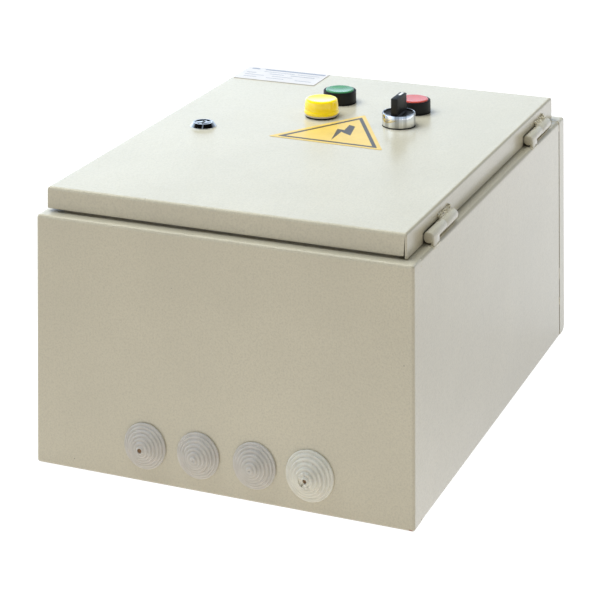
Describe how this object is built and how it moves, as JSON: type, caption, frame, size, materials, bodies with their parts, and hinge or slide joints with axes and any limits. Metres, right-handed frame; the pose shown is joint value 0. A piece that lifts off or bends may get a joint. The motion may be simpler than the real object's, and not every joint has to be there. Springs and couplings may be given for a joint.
{
  "type": "enclosed magnetic motor starter",
  "caption": "Wall-mounted sheet-steel motor starter box with a hinged control door, contactor, overload relay, breaker and terminal strip inside.",
  "frame": {"origin": "centre of the flat back face, midway between the wall-fixing holes", "axes": "+Z out of the door, +Y up when hung on a wall (the cable entries are at -Y), +X towards the hinges"},
  "size_m": [0.3, 0.412, 0.2292],
  "materials": {
    "painted_body": "semi-gloss powder coat with a fine orange-peel texture",
    "painted_door": "semi-gloss powder coat with a fine orange-peel texture",
    "zinc_steel": "bright zinc plating",
    "core_steel": "laminated electrical steel",
    "spring_steel": "drawn spring wire",
    "chrome_trim": "bright chrome plating",
    "brass_contact": "brass, turned and stamped",
    "coil_winding": "enamelled copper winding",
    "black_plastic": "fine satin moulding",
    "dark_plastic": "fine matt moulding",
    "device_plastic": "light grey matt moulding",
    "terminal_plastic": "grey polyamide",
    "green_plastic": "glossy moulding",
    "red_plastic": "glossy moulding",
    "blue_plastic": "glossy moulding",
    "white_plastic": "satin moulding",
    "yellow_lens": "translucent glossy moulding",
    "sign_yellow": "printed vinyl film",
    "label_white": "printed vinyl film",
    "grommet_rubber": "grey translucent rubber",
    "pale_rubber": "pale translucent rubber",
    "gasket_rubber": "closed-cell foam rubber",
    "wire_insulation": "smooth PVC"
  },
  "bodies": {
    "enclosure": {"body_wrap": "painted_body", "bottom_end_wall": "painted_body", "top_end_wall": "painted_body", "hinge_body_leaves": "painted_body", "hinge_pins": "zinc_steel", "cable_grommets": "grommet_rubber", "large_cable_grommet": "pale_rubber", "mounting_plate": "zinc_steel", "plate_studs": "zinc_steel", "plate_fasteners": "zinc_steel", "din_rails": "zinc_steel", "breaker_housing": "device_plastic", "contactor_base": "dark_plastic", "contactor_cover": "device_plastic", "contactor_core": "core_steel", "contactor_coil": "coil_winding", "contactor_spring": "spring_steel", "fixed_contacts": "brass_contact", "relay_housing": "dark_plastic", "relay_pins": "brass_contact", "terminal_blocks": "terminal_plastic", "earth_terminals": "green_plastic", "end_stops": "terminal_plastic", "terminal_screws": "zinc_steel", "supply_wires": "wire_insulation", "power_wires": "wire_insulation", "motor_wires": "wire_insulation", "control_harness": "wire_insulation"},
    "door": {"door_panel": "painted_door", "door_gasket": "gasket_rubber", "hinge_door_leaves": "painted_door", "door_harness": "wire_insulation", "hazard_sticker": "sign_yellow", "nameplate": "label_white", "push_button_bezels": "black_plastic", "control_gaskets": "gasket_rubber", "control_nuts": "zinc_steel", "contact_blocks": "device_plastic", "start_spring": "spring_steel", "stop_spring": "spring_steel", "selector_bezel": "chrome_trim", "lamp_base": "black_plastic", "lamp_collar": "white_plastic", "lamp_lens": "yellow_lens", "lamp_led_module": "device_plastic", "lock_housing": "chrome_trim", "lock_nut": "zinc_steel"},
    "start_button": {"start_cap": "green_plastic"},
    "stop_button": {"stop_cap": "red_plastic"},
    "selector": {"selector_knob": "black_plastic", "selector_marker": "white_plastic"},
    "lock": {"lock_core": "chrome_trim", "lock_cam": "zinc_steel"},
    "contact_carrier": {"contactor_carrier": "black_plastic", "contactor_armature": "core_steel", "moving_contacts": "brass_contact"},
    "breaker_lever": {"breaker_toggle": "black_plastic"},
    "current_dial": {"relay_dial": "white_plastic"},
    "reset_key": {"relay_reset_button": "blue_plastic"},
    "relay_stop_key": {"relay_stop_button": "red_plastic"}
  },
  "joints": [
    {"name": "door_hinge", "type": "hinge", "parent": "enclosure", "child": "door", "pos_m": [0.1453, 0, 0.1912], "axis": [0, 1, 0], "range_deg": [0, 120]},
    {"name": "start_push", "type": "slide", "parent": "door", "child": "start_button", "axis": [0, 0, -1], "range_m": [0, 0.004], "stiffness_N_per_m": 500, "springref_m": -0.003, "deforming": ["start_spring"]},
    {"name": "stop_push", "type": "slide", "parent": "door", "child": "stop_button", "axis": [0, 0, -1], "range_m": [0, 0.004], "stiffness_N_per_m": 500, "springref_m": -0.003, "deforming": ["stop_spring"]},
    {"name": "selector_turn", "type": "hinge", "parent": "door", "child": "selector", "pos_m": [0.0464, 0.0607, 0.21], "axis": [0, 0, 1], "range_deg": [-45, 45]},
    {"name": "lock_turn", "type": "hinge", "parent": "door", "child": "lock", "pos_m": [-0.1035, -0.002, 0.2], "axis": [0, 0, -1], "range_deg": [0, 90]},
    {"name": "contactor_pull_in", "type": "slide", "parent": "enclosure", "child": "contact_carrier", "axis": [0, 0, -1], "range_m": [0, 0.005], "stiffness_N_per_m": 900, "springref_m": -0.002, "deforming": ["contactor_spring"]},
    {"name": "breaker_switch", "type": "hinge", "parent": "enclosure", "child": "breaker_lever", "pos_m": [-0.062, 0.055, 0.068], "axis": [-1, 0, 0], "range_deg": [0, 70]},
    {"name": "current_setting", "type": "hinge", "parent": "enclosure", "child": "current_dial", "pos_m": [0.022, -0.0122, 0.096], "axis": [0, 0, -1], "range_deg": [-120, 120]},
    {"name": "relay_reset_push", "type": "slide", "parent": "enclosure", "child": "reset_key", "axis": [0, 0, -1], "range_m": [0, 0.003], "stiffness_N_per_m": 400, "springref_m": -0.002},
    {"name": "relay_stop_push", "type": "slide", "parent": "enclosure", "child": "relay_stop_key", "axis": [0, 0, -1], "range_m": [0, 0.003], "stiffness_N_per_m": 400, "springref_m": -0.002}
  ]
}
